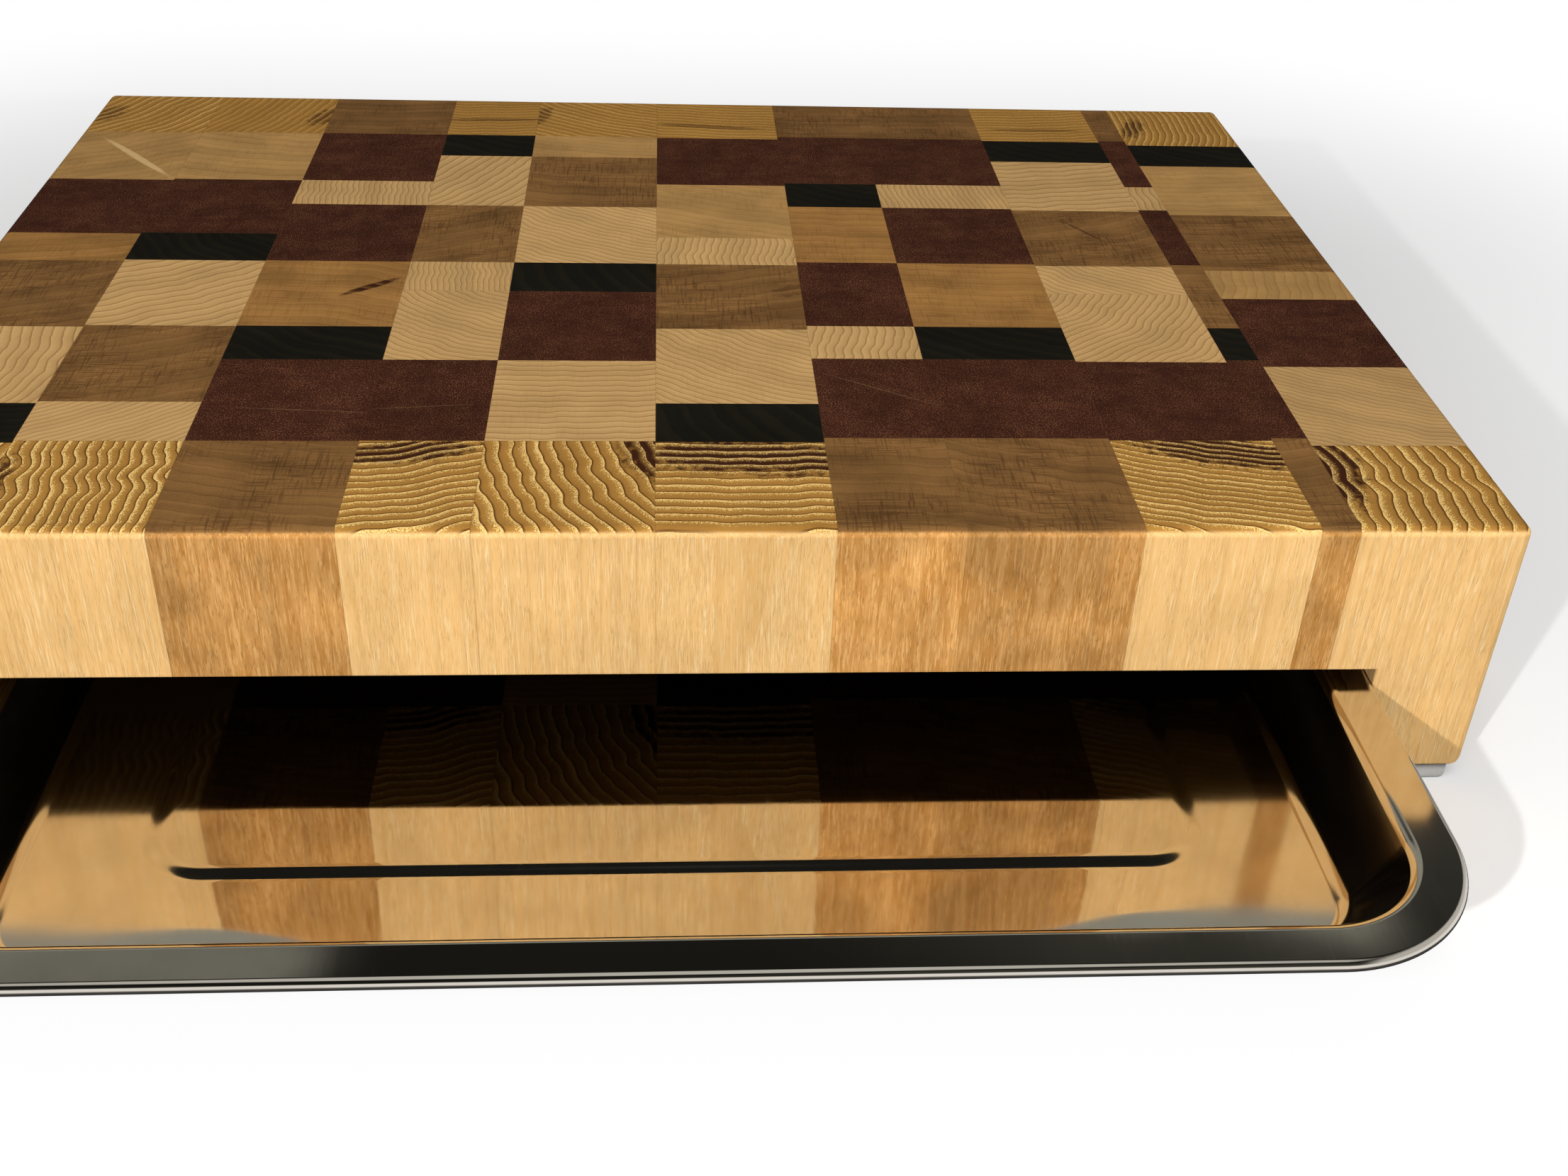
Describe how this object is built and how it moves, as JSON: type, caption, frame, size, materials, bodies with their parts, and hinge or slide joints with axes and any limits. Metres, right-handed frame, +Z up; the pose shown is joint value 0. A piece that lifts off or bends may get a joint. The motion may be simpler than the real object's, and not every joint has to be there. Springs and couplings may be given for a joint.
{
  "type": "butcher block with catch tray",
  "caption": "End-grain butcher block of mixed woods on two full-depth legs, with a steel catch tray that slides out from the channel between them.",
  "frame": {"origin": "bottom centre of the bounding box, with the tray pulled out as at rest", "axes": "+X to the user's right along the front, +Y from the user towards the back, +Z up"},
  "size_m": [0.5, 0.482, 0.0955],
  "materials": {
    "ash": "oiled end grain with pale growth rings",
    "maple": "oiled end grain, pale and fine",
    "pear": "oiled end grain, light brown",
    "cherry": "oiled end grain, warm brown",
    "walnut": "oiled end grain, mid brown",
    "wenge": "oiled end grain, dark purple brown with pale flecks",
    "ebony": "oiled end grain, near black",
    "steel": "polished stainless sheet",
    "rubber": "matt light grey"
  },
  "bodies": {
    "block": {"front_block_01": "ash", "left_block_2": "ebony", "left_block_3": "maple", "left_block_4": "walnut", "left_block_5": "cherry", "left_block_6": "wenge", "left_block_7": "pear", "back_block_01": "ash", "front_block_02": "ash", "front_core_02": "maple", "back_core_02": "wenge", "back_block_02": "ash", "front_block_03": "walnut", "front_core_03": "wenge", "back_core_03": "wenge", "back_block_03": "walnut", "front_block_04": "ash", "front_core_04": "maple", "back_core_04": "walnut", "back_block_04": "ash", "front_block_05": "ash", "front_core_05": "maple", "back_core_05": "maple", "back_block_05": "ash", "front_block_06": "ash", "front_core_06": "maple", "back_core_06": "pear", "back_block_06": "ash", "front_block_07": "walnut", "front_core_07": "wenge", "back_core_07": "cherry", "back_block_07": "walnut", "front_block_08": "walnut", "front_core_08": "wenge", "back_core_08": "wenge", "back_block_08": "walnut", "front_block_09": "ash", "front_core_09": "maple", "back_core_09": "walnut", "back_block_09": "ash", "front_block_10": "walnut", "front_core_10": "wenge", "back_core_10": "wenge", "back_block_10": "walnut", "front_block_11": "ash", "right_block_2": "maple", "right_block_3": "wenge", "right_block_4": "cherry", "right_block_5": "walnut", "right_block_6": "pear", "right_block_7": "ebony", "back_block_11": "ash", "left_foot_strip": "rubber", "right_foot_strip": "rubber", "left_tray_rail": "ash", "right_tray_rail": "ash"},
    "tray": {"catch_tray": "steel"}
  },
  "joints": [
    {"name": "tray_slide", "type": "slide", "parent": "block", "child": "tray", "axis": [0, -1, 0], "range_m": [-0.118, 0.122]}
  ]
}
